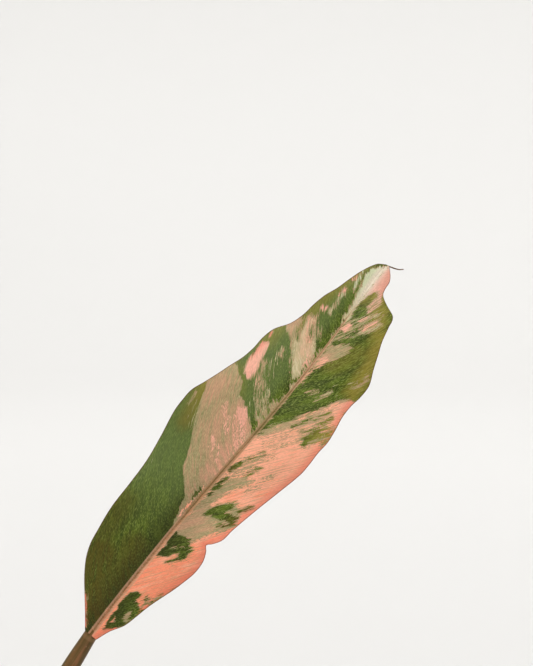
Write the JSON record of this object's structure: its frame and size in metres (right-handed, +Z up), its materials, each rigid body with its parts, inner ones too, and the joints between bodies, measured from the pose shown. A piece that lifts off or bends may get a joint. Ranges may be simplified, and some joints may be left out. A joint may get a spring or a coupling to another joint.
{
  "type": "potted variegated philodendron",
  "caption": "Young variegated philodendron with long spear-shaped leaves on thin stalks, standing in soil in a plain terracotta pot that rests on its flat base.",
  "frame": {"origin": "centre of the pot's flat base, on the surface that it stands on", "axes": "+Z up; the tallest leaf leans towards +X, and the leaves' upper faces turn towards -Y and up"},
  "size_m": [0.3809, 0.3759, 0.3914],
  "materials": {
    "terracotta": "matte",
    "soil": "matte",
    "stem": "satin",
    "petiole": "satin",
    "new_leaf": "satin",
    "leaf": "satin"
  },
  "bodies": {
    "root": {"pot": "terracotta", "soil": "soil", "stem": "stem", "new_leaf": "new_leaf", "petiole_tall": "petiole", "leaf_tall": "leaf", "petiole_back": "petiole", "leaf_back": "leaf", "petiole_front": "petiole", "leaf_front": "leaf", "petiole_left": "petiole", "leaf_left": "leaf", "petiole_low_back": "petiole", "leaf_low_back": "leaf", "petiole_low_front": "petiole", "leaf_low_front": "leaf"}
  },
  "joints": []
}
